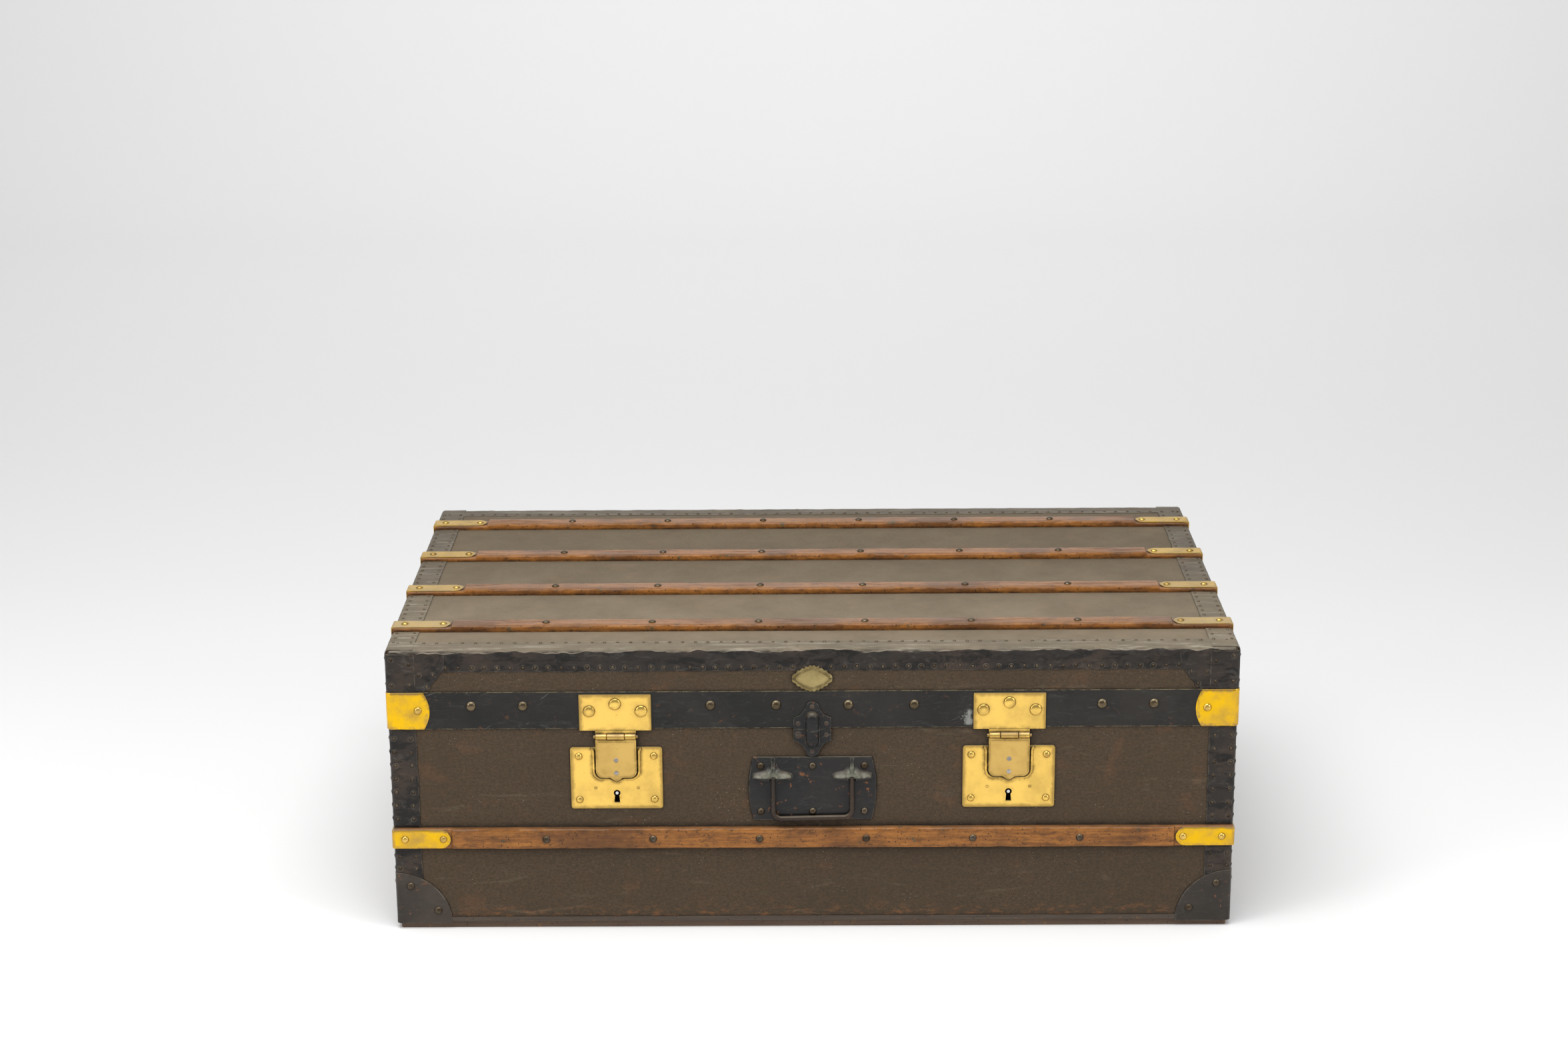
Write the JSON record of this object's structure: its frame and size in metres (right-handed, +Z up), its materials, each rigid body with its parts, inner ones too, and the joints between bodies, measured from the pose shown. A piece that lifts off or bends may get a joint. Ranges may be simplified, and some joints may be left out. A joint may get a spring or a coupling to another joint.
{
  "type": "flat-topped cabin trunk",
  "caption": "Low flat-topped travelling trunk with hinged lid, wooden slats, twin hasp locks, bail handles and a lift-out tray.",
  "frame": {"origin": "middle of the footprint, on the floor", "axes": "+X to the right seen from the front, +Y from the front to the hinged back, +Z up"},
  "size_m": [1.0188, 0.5926, 0.3656],
  "materials": {
    "board_wood": "plain sawn poplar, aged",
    "slat_wood": "varnished beech, worn and streaked dark",
    "canvas": "coated woven canvas, dusty",
    "lining_paper": "plain lining paper",
    "edge_binding": "dark vulcanised fibre, crinkled",
    "iron": "blackened iron with rust spots",
    "black_band": "black painted steel, scratched",
    "brass": "polished brass with patina",
    "dark_brass": "dark bronzed heads",
    "steel": "bright steel"
  },
  "bodies": {
    "trunk": {"bottom_board": "board_wood", "body_front_board": "board_wood", "body_back_board": "board_wood", "body_left_board": "board_wood", "body_right_board": "board_wood", "body_canvas": "canvas", "body_lining": "lining_paper", "base_strips": "edge_binding", "base_corner_plates": "iron", "body_corner_bindings": "edge_binding", "body_front_slat": "slat_wood", "body_back_slat": "slat_wood", "body_slat_clamps": "brass", "body_slat_nails": "dark_brass", "body_brass_studs": "brass", "front_handle_plate": "iron", "end_handle_plates": "iron", "body_iron_studs": "dark_brass", "lock_plate_left": "brass", "lock_plate_right": "brass", "lock_cases": "steel", "dowel_lower": "iron", "hinge_body_leaves": "iron", "hinge_pins": "steel", "rim_lip": "board_wood", "tray_ledges": "board_wood"},
    "lid": {"lid_top_board": "board_wood", "lid_front_board": "board_wood", "lid_back_board": "board_wood", "lid_left_board": "board_wood", "lid_right_board": "board_wood", "lid_canvas": "canvas", "lid_lining": "lining_paper", "lid_band": "black_band", "band_caps": "brass", "band_studs": "dark_brass", "lid_edge_bindings": "edge_binding", "lid_corner_patches": "edge_binding", "label_plate": "brass", "lid_front_slat": "slat_wood", "lid_inner_front_slat": "slat_wood", "lid_inner_back_slat": "slat_wood", "lid_back_slat": "slat_wood", "lid_slat_clamps": "brass", "lid_slat_nails": "dark_brass", "lid_brass_studs": "brass", "hasp_plate_left": "brass", "hasp_plate_right": "brass", "hasp_pins": "steel", "dowel_upper": "iron", "hinge_lid_leaves": "iron"},
    "hasp_left": {"hasp_left": "brass"},
    "hasp_right": {"hasp_right": "brass"},
    "front_bail": {"front_bail": "iron"},
    "left_bail": {"left_bail": "iron"},
    "right_bail": {"right_bail": "iron"},
    "tray": {"tray_bottom": "board_wood", "tray_walls": "board_wood"},
    "lock_bolt_left": {"lock_bolt_left": "steel"},
    "lock_bolt_right": {"lock_bolt_right": "steel"}
  },
  "joints": [
    {"name": "lid_hinge", "type": "hinge", "parent": "trunk", "child": "lid", "pos_m": [0, 0.2925, 0.25675], "axis": [-1, 0, 0], "range_deg": [0, 100]},
    {"name": "hasp_left_swing", "type": "hinge", "parent": "lid", "child": "hasp_left", "pos_m": [-0.2323, -0.2889, 0.2474], "axis": [-1, 0, 0], "range_deg": [0, 150]},
    {"name": "hasp_right_swing", "type": "hinge", "parent": "lid", "child": "hasp_right", "pos_m": [0.2323, -0.2889, 0.2474], "axis": [-1, 0, 0], "range_deg": [0, 150]},
    {"name": "front_bail_swing", "type": "hinge", "parent": "trunk", "child": "front_bail", "pos_m": [0, -0.2903, 0.1956], "axis": [-1, 0, 0], "range_deg": [0, 100]},
    {"name": "left_bail_swing", "type": "hinge", "parent": "trunk", "child": "left_bail", "pos_m": [-0.5053, 0, 0.1956], "axis": [0, 1, 0], "range_deg": [0, 100]},
    {"name": "right_bail_swing", "type": "hinge", "parent": "trunk", "child": "right_bail", "pos_m": [0.5053, 0, 0.1956], "axis": [0, -1, 0], "range_deg": [0, 100]},
    {"name": "tray_lift", "type": "slide", "parent": "trunk", "child": "tray", "axis": [0, 0, 1], "range_m": [0, 0.085]},
    {"name": "lock_bolt_left_slide", "type": "slide", "parent": "trunk", "child": "lock_bolt_left", "axis": [-1, 0, 0], "range_m": [0, 0.009]},
    {"name": "lock_bolt_right_slide", "type": "slide", "parent": "trunk", "child": "lock_bolt_right", "axis": [-1, 0, 0], "range_m": [0, 0.009]}
  ]
}
